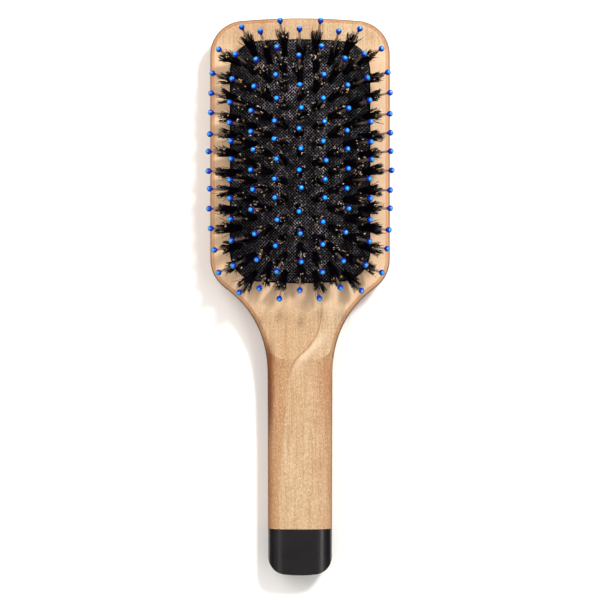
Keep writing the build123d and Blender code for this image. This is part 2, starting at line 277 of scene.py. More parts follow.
def grown_wood(s, x, y, bands, streaks, flecks):
    """Colour of the wood as it grew, before it was shaped and handled."""
    right_of = growth_line(s, x, y)
    on_handle = s.between(y, -24 * MM, -38 * MM)
    speckle = s.noise(s.stretched(1, 0.48, 1), 2600, 1, 0.5)
    mottle = s.noise(s.stretched(1, 0.7, 1), 75, 4, 0.6, 0.4)
    pale, honey, orange = srgb(194, 169, 136), srgb(183, 149, 112), srgb(166, 116, 74)
    colour = s.mix(s.between(bands, 0.30, 0.72), pale, honey)

    # Redder to the left of the growth line, with a softer boundary along the handle, and
    # at the handle's right side
    sharp_left = s.between(right_of, -0.15 * MM, 0.25 * MM, 1.0, 0.0)
    soft_left = s.between(right_of, -0.9 * MM, 0.5 * MM, 1.0, 0.0)
    near_cap = s.between(y, -64 * MM, -26 * MM, 1.0, 0.28)
    left_wood = s.product(s.mix(on_handle, sharp_left, soft_left), near_cap, 0.60)
    colour = s.mix(left_wood, colour, orange)
    at_right = s.product(s.between(x, 3 * MM, 11 * MM, 0.0, 0.40), on_handle)
    colour = s.mix(at_right, colour, orange)

    # Fine streaks, speckle, mottle and pores
    colour = s.mix(s.between(streaks, 0.42, 0.68, 0.0, 0.42), colour, srgb(147, 104, 68))
    colour = s.mix(s.between(speckle, 0.52, 0.72, 0.0, 0.52), colour, srgb(143, 101, 65))
    colour = s.mix(s.between(speckle, 0.46, 0.30, 0.0, 0.46), colour, srgb(217, 197, 166))
    colour = s.mix(s.between(mottle, 0.52, 0.74, 0.0, 0.25), colour, srgb(157, 112, 74))
    colour = s.mix(s.between(mottle, 0.46, 0.22, 0.0, 0.20), colour, srgb(201, 179, 146))
    colour = s.mix(s.product(flecks, 0.22), colour, srgb(113, 74, 44))

    # The growth line itself, and a pale patch beside it where it bends
    line_core = s.between(right_of, -0.9 * MM, 0.0, 0.0, 1.0)
    line_core = s.product(line_core, sharp_left, s.between(on_handle, 0.0, 1.0, 0.60, 0.10))
    colour = s.mix(line_core, colour, srgb(135, 82, 45))
    beside = s.product(
        s.between(right_of, 0.2 * MM, 1.2 * MM), s.between(right_of, 6 * MM, 2 * MM)
    )
    at_bend = s.product(
        s.between(y, -36 * MM, -24 * MM), s.between(y, -12 * MM, -20 * MM)
    )
    return s.mix(s.product(beside, at_bend, 0.5), colour, srgb(222, 203, 176))


def wood_light_shade_and_wear(s, colour, x, y, z):
    """Paints light and shade onto the grown wood by place and by how its surface turns, with some
    wear on the handle.
    """
    # Painted light: paler beside the cushion, lifting the shade that the tufts cast there
    painted_light_beside_cushion = s.product(s.between(y, -10 * MM, 0), s.between(y, 108 * MM, 97 * MM))
    colour = s.mix(s.product(painted_light_beside_cushion, 0.60), colour, srgb(238, 202, 166))

    # Painted shade where the handle meets the flat head and its crown slopes away: darker, and
    # most of all at its two sides
    below_face = s.between(z, FACE_Z - 0.02 * MM, FACE_Z - 0.09 * MM)
    painted_neck_shade = s.product(below_face, s.between(y, -62 * MM, -30 * MM))
    out = s.between(s.math("ABSOLUTE", x), 4 * MM, 12 * MM, 0.25, 1.0)
    colour = s.mix(s.product(painted_neck_shade, out, 0.55), colour, srgb(206, 150, 100), "MULTIPLY")

    # Painted shade, with some wear on the handle: darker a little where the surface turns down,
    # much more near its steep part, and less again on the upright sides; on the handle more on the
    # left than on the right
    lift = s.node("SeparateXYZ", 2, {0: s.node("NewGeometry", "Normal")})
    along_handle = s.between(y, -10 * MM, -36 * MM)
    not_side = s.between(lift, 0.08, 0.42, 0.30, 1.0)
    wear_and_shade_amount = s.product(along_handle, s.between(x, 6 * MM, -6 * MM, 0.26, 0.60))
    worn_and_painted_shade = s.product(s.between(lift, 0.99, 0.74), wear_and_shade_amount, not_side)
    colour = s.mix(worn_and_painted_shade, colour, srgb(128, 80, 44))
    # Painted shade: a thin dark line where the surface turns steeply away, stronger on the head
    # than on the handle
    edge_shade_start = s.between(along_handle, 0.0, 1.0, 0.73, 0.74)
    edge = s.between(lift, edge_shade_start, 0.50, 0.0, s.between(along_handle, 0.0, 1.0, 0.9, 0.45))
    colour = s.mix(s.product(edge, not_side), colour, srgb(66, 36, 18))

    # Painted shade: the left side of the handle is darker
    painted_shade_left_side = s.product(
        s.between(x, -9.8 * MM, -12.6 * MM),
        s.between(y, -64 * MM, -44 * MM),
        s.between(y, -14 * MM, -26 * MM),
    )
    return s.mix(painted_shade_left_side, colour, srgb(176, 146, 124), "MULTIPLY")


def wood_material():
    """Oiled pale hardwood: grain drawn out along Y, fine pores, and one thin growth line that
    sweeps across the neck, with redder wood to its left."""
    s = Shader("wood")
    x, y, z = (s.node("SeparateXYZ", i, {0: s.position}) for i in range(3))
    bands = s.noise(s.stretched(1, 0.05, 1), 130, 3, 0.55, 0.6)
    streaks = s.noise(s.stretched(1, 0.04, 1), 1500, 3, 0.6, 0.15)
    pores = s.noise(s.stretched(1, 0.09, 1), 3600, 2, 0.6)
    flecks = s.between(pores, 0.60, 0.74)
    colour = grown_wood(s, x, y, bands, streaks, flecks)
    height = s.math("MULTIPLY_ADD", streaks, 0.6, s.product(flecks, -0.5))
    return s.surface(
        Base_Color=wood_light_shade_and_wear(s, colour, x, y, z),
        Roughness=s.between(bands, 0.2, 0.8, 0.46, 0.58),
        IOR=1.45,
        Specular_IOR_Level=0.35,
        Normal=s.bump(height, 0.04 * MM, 0.3),
    )


def cap_material():
    """Glossy black moulding with a very fine texture, and a clear coat that shows where the
    surface turns away."""
    s = Shader("cap")
    grit = s.noise(s.position, 5200, 2, 0.5)
    cloud = s.noise(s.position, 120, 3, 0.6)
    colour = s.mix(s.between(cloud, 0.3, 0.7), srgb(13, 10, 14), srgb(22, 18, 24))
    facing = s.node("LayerWeight", "Facing", {"Blend": 0.5})
    return s.surface(
        Base_Color=colour,
        Roughness=s.between(cloud, 0.3, 0.7, 0.18, 0.24),
        IOR=1.5,
        Specular_IOR_Level=0.36,
        Coat_Weight=s.between(facing, 0.15, 0.50, 0.0, 0.7),
        Coat_Roughness=0.12,
        Coat_IOR=1.8,
        Normal=s.bump(grit, 0.015 * MM, 0.5),
    )


def rubber_material():
    """Dull black moulded rubber."""
    s = Shader("rubber")
    grain = s.noise(s.position, 1800, 4, 0.6)
    return s.surface(
        Base_Color=s.mix(grain, srgb(16, 15, 17), srgb(30, 29, 31)),
        Roughness=s.between(grain, 0.3, 0.7, 0.62, 0.78),
        Normal=s.bump(grain, 0.04 * MM, 0.5),
    )


def weave_height(s, pitch):
    """Plain weave at 45 degrees: two sets of ridges, over and under by turns."""
    turned = s.node(
        "Mapping", 0, {"Vector": s.position, "Rotation": (0, 0, math.radians(45))}
    )
    x, y = (s.node("SeparateXYZ", i, {0: turned}) for i in range(2))
    across = s.math("SINE", s.product(x, math.tau / pitch))
    along = s.math("SINE", s.product(y, math.tau / pitch))
    return s.product(across, along)


def cloth_material():
    """Tight black backing cloth."""
    s = Shader("fabric")
    weave = weave_height(s, 0.45 * MM)
    dust = s.noise(s.position, 420, 4, 0.6)
    # Painted shade: darker where the weave is low
    colour = s.mix(s.between(weave, -0.6, 0.9), srgb(3, 3, 4), srgb(10, 9, 11))
    colour = s.mix(s.between(dust, 0.55, 0.75, 0.0, 0.4), colour, srgb(26, 24, 28))
    return s.surface(
        Base_Color=colour,
        Roughness=0.82,
        Specular_IOR_Level=0.12,
        Sheen_Weight=0.02,
        Sheen_Roughness=0.5,
        Normal=s.bump(weave, 0.06 * MM, 0.7),
    )


def thread_material():
    """Dark grey twisted yarn of the net, with small painted glints, and painted light that makes
    it brighter near the middle and darker towards the sides.
    """
    s = Shader("net_thread")
    fibres = s.noise(s.position, 4200, 3, 0.6)
    painted_glint_noise = s.noise(s.position, 1100, 2, 0.6)
    patches = s.noise(s.position, 170, 3, 0.6)
    x = s.node("SeparateXYZ", 0, {0: s.position})
    # Painted light: paler yarn in random patches, brighter near the middle and darker towards the
    # sides among the tufts
    painted_light_middle = s.between(s.math("ABSOLUTE", x), 6 * MM, 24 * MM, 1.0, 0.35)
    painted_light_amount = s.product(s.between(patches, 0.36, 0.62, 0.28, 1.0), painted_light_middle)
    colour = s.mix(painted_light_amount, srgb(12, 10, 13), srgb(106, 100, 108))
    # Painted highlights: small bright glints on the yarn
    painted_glint = s.product(s.between(painted_glint_noise, 0.51, 0.60), painted_light_amount)
    colour = s.mix(painted_glint, colour, srgb(246, 238, 250))
    colour = s.mix(s.product(fibres, 0.25), colour, srgb(12, 10, 13))
    return s.surface(
        Base_Color=colour,
        Roughness=0.5,
        Specular_IOR_Level=0.25,
        Sheen_Weight=0.05,
        Sheen_Roughness=0.4,
        Normal=s.bump(fibres, 0.03 * MM, 0.6),
    )


def nylon_material():
    """Smoky translucent nylon of the pins."""
    s = Shader("nylon")
    cloud = s.noise(s.stretched(1, 1, 0.25), 700, 3, 0.6)
    return s.surface(
        Base_Color=s.mix(cloud, srgb(104, 86, 78), srgb(132, 112, 100)),
        Roughness=s.between(cloud, 0.3, 0.7, 0.22, 0.34),
        Specular_IOR_Level=0.3,
        Alpha=0.46,
        IOR=1.5,
    )


def ball_material():
    """Glossy blue resin with painted light and shade: sky blue where the crown of the ball faces
    up, navy at its sides.
    """
    s = Shader("ball")
    crown = s.node("Attribute", "Fac", attribute_name="crown", attribute_type="GEOMETRY")
    cloud = s.noise(s.position, 900, 2, 0.5)
    up = s.node("SeparateXYZ", 2, {0: s.node("NewGeometry", "Normal")})
    # Painted shade and painted light: navy on the sides, deepest where they face down, and sky
    # blue where the ball's crown faces up
    side = s.mix(s.between(up, 0.1, 0.85), srgb(0, 8, 84), srgb(2, 40, 158))
    painted_light_amount = s.product(s.between(up, 0.45, 0.86), s.between(crown, 0.66, 0.95))
    colour = s.mix(painted_light_amount, side, srgb(0, 172, 240))
    colour = s.mix(s.between(cloud, 0.3, 0.7, 0.0, 0.12), colour, srgb(0, 50, 180))
    return s.surface(
        Base_Color=colour,
        Roughness=0.12,
        IOR=1.47,
        Specular_IOR_Level=0.45,
        Normal=s.bump(cloud, 0.01 * MM, 0.3),
    )


def bristle_material():
    """Boar bristle: near black with a purple cast, golden or ivory at the split ends, which are
    partly the bristles' own pale tips and partly painted highlights.
    """
    s = Shader("bristle")
    along = s.node("Attribute", "Fac", attribute_name="along", attribute_type="GEOMETRY")
    pale = s.node("Attribute", "Fac", attribute_name="pale", attribute_type="GEOMETRY")
    dark = s.mix(pale, srgb(7, 3, 14), srgb(20, 13, 28))
    # Pale split tips, partly the bristles' own colour and partly painted highlights where the cut
    # ends catch the light
    pale_tips_and_highlights = s.mix(s.between(pale, 0.93, 0.94), srgb(240, 194, 122), srgb(250, 242, 224))
    tip = s.product(s.between(along, 0.925, 0.96), s.between(pale, 0.90, 0.905))
    grain = s.noise(s.position, 3000, 2, 0.5)
    return s.surface(
        Base_Color=s.mix(tip, dark, pale_tips_and_highlights),
        Roughness=s.between(grain, 0.3, 0.7, 0.30, 0.44),
        IOR=1.55,
        Specular_IOR_Level=0.3,
    )


def steel_material():
    """Bright drawn steel of the binding rings."""
    s = Shader("ring")
    drawn = s.noise(s.stretched(1, 1, 0.1), 5000, 3, 0.5)
    return s.surface(
        Base_Color=s.mix(drawn, srgb(170, 170, 172), srgb(214, 214, 216)),
        Metallic=1.0,
        Roughness=s.between(drawn, 0.3, 0.7, 0.22, 0.38),
    )


def floor_material():
    """Matt near-white paint."""
    s = Shader("floor_paint")
    cloud = s.noise(s.position, 6, 3, 0.5)
    return s.surface(
        Base_Color=s.mix(cloud, (0.92, 0.91, 0.90, 1), (0.94, 0.94, 0.93, 1)),
        Roughness=0.85,
    )


# ------------------------------------------------------------------ helpers for meshes
def mesh_piece(name, points, faces, material, smooth=True):
    """New mesh object from points and faces."""
    mesh = bpy.data.meshes.new(name)
    mesh.from_pydata([tuple(p) for p in points], [], [tuple(f) for f in faces])
    mesh.materials.append(material)
    if smooth:
        mesh.shade_smooth()
    mesh.update()
    piece = bpy.data.objects.new(name, mesh)
    bpy.context.scene.collection.objects.link(piece)
    return piece


def point_attribute(piece, name, values):
    attribute = piece.data.attributes.new(name, "FLOAT", "POINT")
    attribute.data.foreach_set("value", np.asarray(values, np.float32))


def solids_of(node):
    """Vertex positions of each separate solid of a CAD node, as arrays."""
    bm = bmesh.new()
    bm.from_mesh(NODES[node].data)
    bmesh.ops.remove_doubles(bm, verts=bm.verts, dist=WELD_DISTANCE)
    unseen = set(bm.verts)
    found = []
    while unseen:
        stack = [unseen.pop()]
        solid = []
        while stack:
            vertex = stack.pop()
            solid.append(vertex.co[:])
            for edge in vertex.link_edges:
                other = edge.other_vert(vertex)
                if other in unseen:
                    unseen.remove(other)
                    stack.append(other)
        found.append(np.array(solid))
    bm.free()
    return sorted(found, key=lambda solid: tuple(np.round(solid.mean(0), 5)))


class Seat:
    """Where one pin stands: its foot on the cushion's face, its axis, and its ball's centre."""

    def __init__(self, pin):
        lengthwise = np.linalg.svd(pin - pin.mean(0), full_matrices=False)[2][0]
        lengthwise = lengthwise * np.sign(lengthwise[2])
        reach = (pin - pin.mean(0)) @ lengthwise
        low = pin[reach < reach.min() + PIN_END].mean(0)
        high = pin[reach > reach.max() - PIN_END].mean(0)
        self.axis = (high - low) / np.linalg.norm(high - low)
        self.foot = low + PIN_HEAD_DEPTH * self.axis
        self.ball = high
        side = np.cross((0, 1, 0), self.axis)
        self.side = side / np.linalg.norm(side)
        self.front = np.cross(self.axis, self.side)


GROUPS = {
    name.removeprefix("pins_"): [Seat(pin) for pin in solids_of(name)]
    for name in sorted(NODES)
    if name.startswith("pins_")
}
SEATS = [seat for group in GROUPS.values() for seat in group]
FEET = np.array([seat.foot for seat in SEATS])


# ------------------------------------------------------------------ cushion surface
def dome_height(x, y):
    """Height of the cushion's smooth face above the wood."""
    across = np.abs(x) / (COVER_HALF_WIDTH + DOME_MARGIN)
    along = np.abs(y - COVER_CENTRE_Y) / (COVER_HALF_LENGTH + DOME_MARGIN)
    return DOME_HEIGHT * (1 - across**DOME_POWER_X) * (1 - along**DOME_POWER_Y)


def cloth_height(x, y):
    """Height of the cloth's face: the dome, drawn in and puckered round each tuft."""
    x, y = np.asarray(x, float), np.asarray(y, float)
    dx = x[:, None] - FEET[None, :, 0]
    dy = y[:, None] - FEET[None, :, 1]
    away = np.hypot(dx, dy)
    dimple = DIMPLE_DEPTH * np.exp(-((away / DIMPLE_REACH) ** 2))
    turn = np.arctan2(dy, dx) * PUCKER_FOLDS + np.arange(len(FEET))[None, :] * PUCKER_TURN
    near_ring = np.exp(-(((away - PUCKER_RADIUS) / PUCKER_WIDTH) ** 2))
    pucker = PUCKER_HEIGHT * np.cos(turn) * near_ring
    return FACE_Z + dome_height(x, y) - dimple.sum(1) + pucker.sum(1)


def outline_sizes(inset):
    """Half width, corner radius, place of the corner arc's centre and Y of the crown arc's
    centre, for the cushion's outline moved inwards by inset. Y counts from its middle."""
    half_width = COVER_HALF_WIDTH - inset
    radius = max(COVER_CORNER_RADIUS - inset, SMALLEST_CORNER)
    crown_centre = COVER_HALF_LENGTH - inset - COVER_CROWN_RADIUS
    corner_x = half_width - radius
    corner_y = crown_centre + math.sqrt((COVER_CROWN_RADIUS - radius) ** 2 - corner_x**2)
    return half_width, radius, corner_x, corner_y, crown_centre


def cushion_loop(inset):
    """Outline of the cushion in plan, counter-clockwise, moved inwards by inset. Every loop
    has the same number of points, so that loops can be joined into walls."""
    half_width, radius, corner_x, corner_y, crown_centre = outline_sizes(inset)
    crown_turn = math.asin(corner_x / (COVER_CROWN_RADIUS - radius))
    crown_start, crown_end = math.pi / 2 - crown_turn, math.pi / 2 + crown_turn

    def arc(centre_x, centre_y, r, start, end, steps):
        angles = np.linspace(start, end, steps, endpoint=False)
        return [(centre_x + r * math.cos(a), centre_y + r * math.sin(a)) for a in angles]

    upper = arc(corner_x, corner_y, radius, 0, crown_start, CORNER_STEPS)
    upper += arc(0, crown_centre, COVER_CROWN_RADIUS, crown_start, crown_end, CROWN_STEPS)
    upper += arc(-corner_x, corner_y, radius, crown_end, math.pi, CORNER_STEPS)
    side = np.linspace(corner_y, -corner_y, SIDE_STEPS, endpoint=False)
    upper += [(-half_width, y) for y in side]
    lower = [(-x, -y) for x, y in upper]
    return [(x, COVER_CENTRE_Y + y) for x, y in upper + lower]


def hole_loop(seat, radius, depth):
    """Outline in plan of the hole that a leaning tuft makes at a depth under the face."""
    slope = seat.axis[:2] / seat.axis[2]
    centre = seat.foot[:2] - slope * depth
    lean = np.linalg.norm(slope)
    uphill = slope / lean if lean > 1e-6 else np.array((1.0, 0.0))
    across = np.array((-uphill[1], uphill[0]))
    stretch = math.sqrt(1 + lean**2)
    loop = []
    for i in range(EYELET_POINTS):
        angle = math.tau * i / EYELET_POINTS
        p = centre + radius * (math.cos(angle) * stretch * uphill + math.sin(angle) * across)
        loop.append(tuple(p))
    return loop


def pierced_sheet(inset, depth, spacing, rings):
    """Triangulated plan of the cushion with a hole for each tuft, at a depth under the face,
    with its outline moved inwards by inset. Returns the points, the triangles, and the
    indices of the outline and of each hole's edge."""
    outline = cushion_loop(inset)
    holes = [hole_loop(seat, EYELET_RADIUS, depth) for seat in SEATS]
    points = list(outline)
    edges = [(i, (i + 1) % len(outline)) for i in range(len(outline))]
    hole_indices = []
    for hole in holes:
        first = len(points)
        points += hole
        hole_indices.append(list(range(first, first + EYELET_POINTS)))
        edges += [(first + i, first + (i + 1) % EYELET_POINTS) for i in range(EYELET_POINTS)]
    for ring in rings:
        for seat in SEATS:
            points += hole_loop(seat, ring, depth)

    # Rows of points between the outline and the rings, every second row shifted
    margin = 0.6 * spacing
    clear = max(rings) + margin
    half_width, half_length = COVER_HALF_WIDTH - inset, COVER_HALF_LENGTH - inset
    polygon = np.array(outline)
    rows = int(2 * half_length / (spacing * math.sqrt(0.75)))
    for j in range(1, rows):
        y = COVER_CENTRE_Y - half_length + 2 * half_length * j / rows
        for i in range(int(2 * half_width / spacing) + 1):
            x = -half_width + spacing * (i + 0.5 * (j % 2))
            near = np.hypot(polygon[:, 0] - x, polygon[:, 1] - y).min() < margin
            if near or not inside_outline(x, y, inset):
                continue
            if np.hypot(FEET[:, 0] - x, FEET[:, 1] - y).min() > clear:
                points.append((x, y))

    # Triangles inside a hole, or outside the outline, are left out
    made = delaunay_2d_cdt([Vector(p) for p in points], edges, [], 0, 1e-9)
    vertices, faces, sources = made[0], made[2], made[3]
    place = {source: i for i, sources_here in enumerate(sources) for source in sources_here}
    hole_of = {}
    for number, indices in enumerate(hole_indices):
        for index in indices:
            hole_of[place[index]] = number
    outline_set = {place[i] for i in range(len(outline))}
    kept = []
    for face in faces:
        numbers = {hole_of.get(i) for i in face}
        if len(numbers) == 1 and None not in numbers:
            continue
        middle = sum((Vector(vertices[i]) for i in face), Vector((0, 0))) / len(face)
        if outline_set.issuperset(face) and not inside_outline(middle.x, middle.y, inset):
            continue
        kept.append(tuple(face))
    outline_indices = [place[i] for i in range(len(outline))]
    hole_indices = [[place[i] for i in hole] for hole in hole_indices]
    return np.array([v[:] for v in vertices]), kept, outline_indices, hole_indices


def inside_outline(x, y, inset):
    """True inside the cushion's outline moved inwards by inset."""
    half_width, radius, corner_x, corner_y, crown_centre = outline_sizes(inset)
    out, up = abs(x), abs(y - COVER_CENTRE_Y)
    if out > half_width or math.hypot(out, up - crown_centre) > COVER_CROWN_RADIUS:
        return False
    if out <= corner_x or up <= corner_y:
        return True
    return math.hypot(out - corner_x, up - corner_y) <= radius


def wall(loop_a, loop_b):
    """Quads that join two closed loops of vertex indices of equal length."""
    count = len(loop_a)
    return [
        (loop_a[i], loop_a[(i + 1) % count], loop_b[(i + 1) % count], loop_b[i])
        for i in range(count)
    ]


def make_cloth(material):
    """Cover cloth: a closed thin sheet over the dome, with a drawn-in eyelet for each tuft."""
    plan, triangles, outline, holes = pierced_sheet(0, 0, CLOTH_SPACING, CLOTH_RINGS)
    top_z = cloth_height(plan[:, 0], plan[:, 1])
    count = len(plan)
    top = np.column_stack([plan, top_z])
    bottom = np.column_stack([plan, top_z - COVER_THICKNESS])
    faces = list(triangles)
    faces += [tuple(count + i for i in reversed(face)) for face in triangles]
    for loop in [outline] + holes:
        faces += wall(loop, [count + i for i in loop])
    return closed_piece("cover_cloth", np.vstack([top, bottom]), faces, material)


def closed_piece(name, points, faces, material):
    """Mesh piece whose faces are turned outwards."""
    piece = mesh_piece(name, points, faces, material)
    bm = bmesh.new()
    bm.from_mesh(piece.data)
    bmesh.ops.recalc_face_normals(bm, faces=bm.faces)
    bm.to_mesh(piece.data)
    bm.free()
    piece.data.update()
    return piece


def make_air_cushion(material):
    """Rubber cushion: a domed shell with holes, a wall down into the pocket, and a rolled
    bead that sits in the groove."""
    depth_top = COVER_THICKNESS + DIMPLE_DEPTH
    depth_low = COVER_THICKNESS + RUBBER_THICKNESS
    outer = pierced_sheet(RUBBER_INSET, depth_top, RUBBER_SPACING, RUBBER_RINGS)
    inner = pierced_sheet(RUBBER_WALL, depth_low, RUBBER_SPACING, RUBBER_RINGS)
    outer_xy, outer_faces, outer_loop, outer_holes = outer
    inner_xy, inner_faces, inner_loop, inner_holes = inner
    outer_z = cloth_height(outer_xy[:, 0], outer_xy[:, 1]) - COVER_THICKNESS - CLOTH_GAP
    inner_z = FACE_Z + dome_height(inner_xy[:, 0], inner_xy[:, 1]) - depth_low
    points = [np.column_stack([outer_xy, outer_z]), np.column_stack([inner_xy, inner_z])]
    first_inner = len(outer_xy)
    faces = list(outer_faces)
    faces += [tuple(first_inner + i for i in reversed(face)) for face in inner_faces]
    for hole_a, hole_b in zip(outer_holes, inner_holes):
        faces += wall(hole_a, [first_inner + i for i in hole_b])

    # Wall profile from the dome's edge down round the bead and up the inside
    bead_middle = (BEAD_LOW + BEAD_HIGH) / 2
    bead_half = (BEAD_HIGH - BEAD_LOW) / 2
    profile = [(0.0, WALL_OUTER_TOP), (0.0, BEAD_HIGH)]
    for i in range(1, BEAD_STEPS):
        angle = math.pi / 2 - math.pi * i / BEAD_STEPS
        profile.append((-BEAD_OUT * math.cos(angle), bead_middle + bead_half * math.sin(angle)))
    profile += [(0.0, BEAD_LOW), (RUBBER_WALL, BEAD_LOW), (RUBBER_WALL, WALL_INNER_TOP)]
    count = first_inner + len(inner_xy)
    last = outer_loop
    for inset, z in profile:
        loop = np.array(cushion_loop(inset))
        points.append(np.column_stack([loop, np.full(len(loop), z)]))
        here = list(range(count, count + len(loop)))
        faces += wall(last, here)
        count += len(loop)
        last = here
    faces += wall(last, [first_inner + i for i in inner_loop])
    return closed_piece("air_cushion", np.vstack(points), faces, material)


def make_net(name, direction, material):
    """One of the net's two sets of threads. Each thread follows the cloth at 45 degrees,
    passes over and under the other set, and stops at the eyelets and at the edge."""
    points, faces = [], []
    step = NET_PITCH / 8
    span = COVER_HALF_WIDTH + COVER_HALF_LENGTH
    threads = int(span / NET_PITCH) + 1
    half_steps = int(span / step)
    across = np.array((-direction, 1.0)) / math.sqrt(2)
    for number in range(-threads, threads + 1):
        # Every fourth step is at a crossing with the other set
        x = np.arange(-half_steps, half_steps + 1) * step
        y = COVER_CENTRE_Y + direction * x + number * NET_PITCH
        keep = np.array([inside_outline(a, b, NET_EDGE) for a, b in zip(x, y)])
        if not keep.any():
            continue
        away = np.hypot(x[:, None] - FEET[None, :, 0], y[:, None] - FEET[None, :, 1]).min(1)
        keep &= away > EYELET_RADIUS + NET_EYELET_GAP
        crossing = x / (NET_PITCH / 2) + number
        wave = THREAD_WAVE * (1 + direction * np.cos(math.pi * crossing))
        z = cloth_height(x, y) + wave - THREAD_SINK
        run = []
        for i in range(len(x) + 1):
            if i < len(x) and keep[i]:
                run.append(i)
                continue
            if len(run) > 2:
                add_ribbon(points, faces, x, y, z, run, across)
            run = []
    return closed_piece(name, points, faces, material)


def add_ribbon(points, faces, x, y, z, run, across):
    """Adds one thread's closed ribbon along the indices in run."""
    first = len(points)
    width = len(THREAD_PROFILE)
    for i in run:
        for offset, height in THREAD_PROFILE:
            px = x[i] + across[0] * offset * THREAD_WIDTH
            py = y[i] + across[1] * offset * THREAD_WIDTH
            points.append((px, py, z[i] + height * THREAD_HEIGHT))
    for k in range(len(run) - 1):
        a, b = first + k * width, first + (k + 1) * width
        for j in range(width):
            n = (j + 1) % width
            faces.append((a + j, a + n, b + n, b + j))
    faces.append(tuple(first + j for j in range(width)))
    faces.append(tuple(first + (len(run) - 1) * width + j for j in reversed(range(width))))


# ------------------------------------------------------------------ tufts
def make_balls(name, seats, material):
    """Ball tips turned about each pin's axis, with a short collar where the pin goes in."""
    segments = BALL_SEGMENTS
    profile = []
    for i in range(1, BALL_RINGS + 1):
        turn = BALL_LAST_TURN * i / BALL_RINGS
        profile.append((BALL_RADIUS * math.sin(turn), BALL_RADIUS * math.cos(turn)))
    low = profile[-1][1] - COLLAR_LENGTH
    end_height = low - COLLAR_CHAMFER
    collar_heights = (profile[-1][1] - COLLAR_FILLET, low, end_height)
    for taper, height in zip(COLLAR_TAPER, collar_heights):
        profile.append((COLLAR_RADIUS * taper, height))
    points, faces, crown = [], [], []
    for seat in seats:
        first = len(points)
        points.append(seat.ball + seat.axis * BALL_RADIUS)
        crown.append(1.0)
        for radius, height in profile:
            for k in range(segments):
                angle = math.tau * k / segments
                out = math.cos(angle) * seat.side + math.sin(angle) * seat.front
                points.append(seat.ball + height * seat.axis + radius * out)
                crown.append(max(-1.0, height / BALL_RADIUS))
        points.append(seat.ball + end_height * seat.axis)
        crown.append(-1.0)
        end = first + 1 + (len(profile) - 1) * segments
        for k in range(segments):
            n = (k + 1) % segments
            faces.append((first, first + 1 + k, first + 1 + n))
            for r in range(len(profile) - 1):
                a, b = first + 1 + r * segments, first + 1 + (r + 1) * segments
                faces.append((a + k, b + k, b + n, a + n))
            faces.append((end + k, end + segments, end + n))
    piece = mesh_piece(name, points, faces, material)
    point_attribute(piece, "crown", crown)
    return piece


# Places along a bristle, closer together towards its end
BRISTLE_SHARES = 1 - (1 - np.linspace(0, 1, BRISTLE_STEPS)) ** BRISTLE_CLOSING


def bristle_lines(seat, rng):
    """Centre lines of one tuft's bristles, as an array of bristle, step, xyz. Bristles stand
    upright through the cushion, then lean out in locks, and their ends are uneven."""
    count = BRISTLES_PER_TUFT
    # The locks: where each leans, how far and how long. The first few stay near the middle
    lock_turn = math.tau * (np.arange(LOCKS_PER_TUFT) + rng.uniform(-0.3, 0.3, LOCKS_PER_TUFT))
    lock_turn = lock_turn / LOCKS_PER_TUFT + rng.uniform(0, math.tau)
    lock_out = TUFT_SPREAD * rng.uniform(0.45, 1.15, LOCKS_PER_TUFT)
    lock_out[: len(MIDDLE_LOCKS)] = TUFT_SPREAD * np.array(MIDDLE_LOCKS)
    lock_length = rng.uniform(0.90, 1.08, LOCKS_PER_TUFT) * rng.uniform(0.93, 1.10)
    lock = rng.integers(0, LOCKS_PER_TUFT, count)

    # The bristles: their roots, their tips, their lengths and how much they bow
    root_turn = lock_turn[lock] + rng.normal(0, 0.75, count)
    root_out = TUFT_ROOT_RADIUS * np.sqrt(rng.uniform(0.08, 1, count))
    root = np.column_stack([root_out * np.cos(root_turn), root_out * np.sin(root_turn)])
    stray = rng.uniform(0, 1, count) < STRAY_SHARE
    tip_out = lock_out[lock] + rng.normal(0, 0.36 * MM, count)
    tip_out = tip_out + stray * rng.uniform(0.5, 1.8, count) * MM
    tip_turn = lock_turn[lock] + rng.normal(0, 0.22, count) + stray * rng.normal(0, 0.7, count)
    tip = np.column_stack([tip_out * np.cos(tip_turn), tip_out * np.sin(tip_turn)])
    length = TUFT_LENGTH * lock_length[lock] * np.clip(rng.normal(1, 0.045, count), 0.84, 1.1)
    bow = rng.normal(0, 0.22 * MM, (count, 2))

    share = BRISTLE_SHARES[None, :, None]
    plane = root[:, None] + (tip - root)[:, None] * share**LEAN_POWER
    plane = plane + bow[:, None] * np.sin(math.pi * share)
    rise = -TUFT_ROOT_DEPTH + (length[:, None, None] + TUFT_ROOT_DEPTH) * share
    lines = plane[..., :1] * seat.side + plane[..., 1:] * seat.front + rise * seat.axis
    return seat.foot + lines


